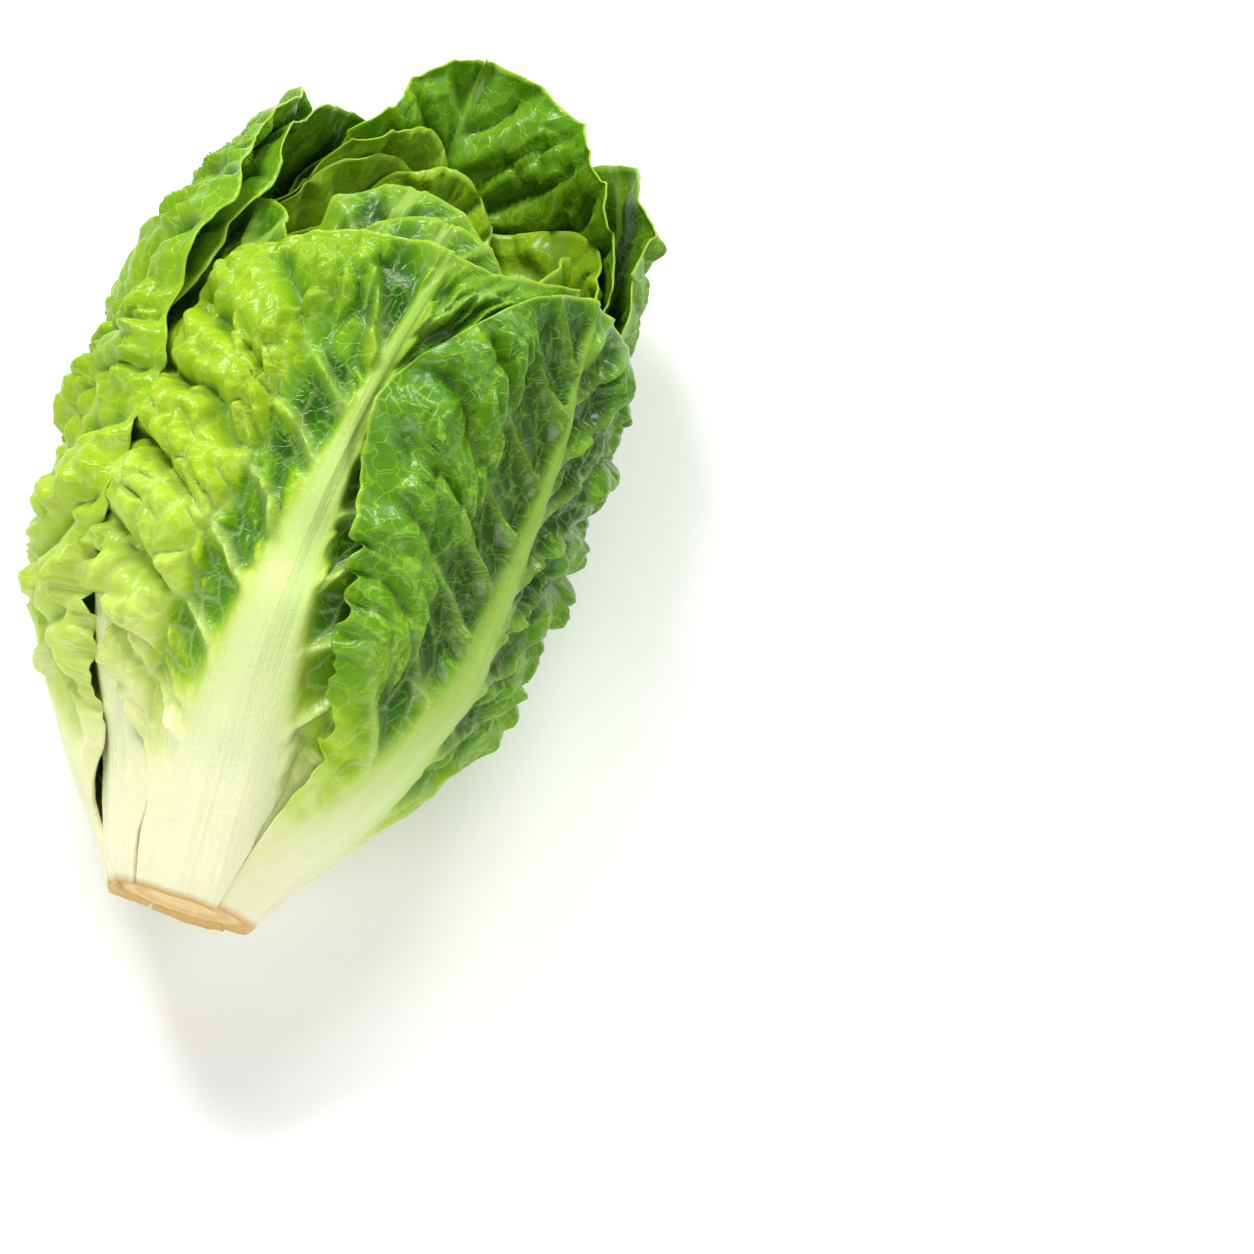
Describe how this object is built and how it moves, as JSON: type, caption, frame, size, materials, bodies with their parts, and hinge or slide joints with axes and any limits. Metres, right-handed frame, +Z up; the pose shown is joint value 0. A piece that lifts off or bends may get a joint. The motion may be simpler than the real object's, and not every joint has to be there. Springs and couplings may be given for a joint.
{
  "type": "little gem lettuce",
  "caption": "Whole small romaine-type lettuce head lying on its side: crinkled leaves with broad pale ribs, overlapping round a short cut stem.",
  "frame": {"origin": "on the floor, under the centre of the head's bounding box", "axes": "+Z up, +Y along the head from the cut stem end towards the leaf tips, +X to the head's right seen from above with the tips pointing away"},
  "size_m": [0.0934, 0.1684, 0.0889],
  "materials": {
    "stem": "moist pale stem flesh, the cut face dried to tan",
    "outer_leaf": "waxy blistered leaf, mid green at the tip to near white at the rib and base",
    "heart_leaf": "waxy crinkled leaf, pale yellow green"
  },
  "bodies": {
    "root": {"stem": "stem", "under_leaf": "outer_leaf", "right_wrapper_leaf": "outer_leaf", "left_wrapper_leaf": "outer_leaf", "right_back_leaf": "outer_leaf", "front_leaf": "outer_leaf", "left_back_leaf": "outer_leaf", "left_inner_leaf": "outer_leaf", "right_inner_leaf": "outer_leaf", "tall_back_leaf": "outer_leaf", "left_tip_leaf": "outer_leaf", "front_inner_leaf": "outer_leaf", "left_cupped_leaf": "outer_leaf", "front_cupped_leaf": "outer_leaf", "back_inner_leaf": "outer_leaf", "heart_leaf_01": "heart_leaf", "heart_leaf_02": "heart_leaf", "heart_leaf_03": "heart_leaf", "heart_leaf_04": "heart_leaf", "heart_leaf_05": "heart_leaf", "heart_leaf_06": "heart_leaf", "heart_leaf_07": "heart_leaf", "heart_leaf_08": "heart_leaf", "heart_leaf_09": "heart_leaf", "heart_leaf_10": "heart_leaf", "heart_leaf_11": "heart_leaf", "heart_leaf_12": "heart_leaf"}
  },
  "joints": []
}
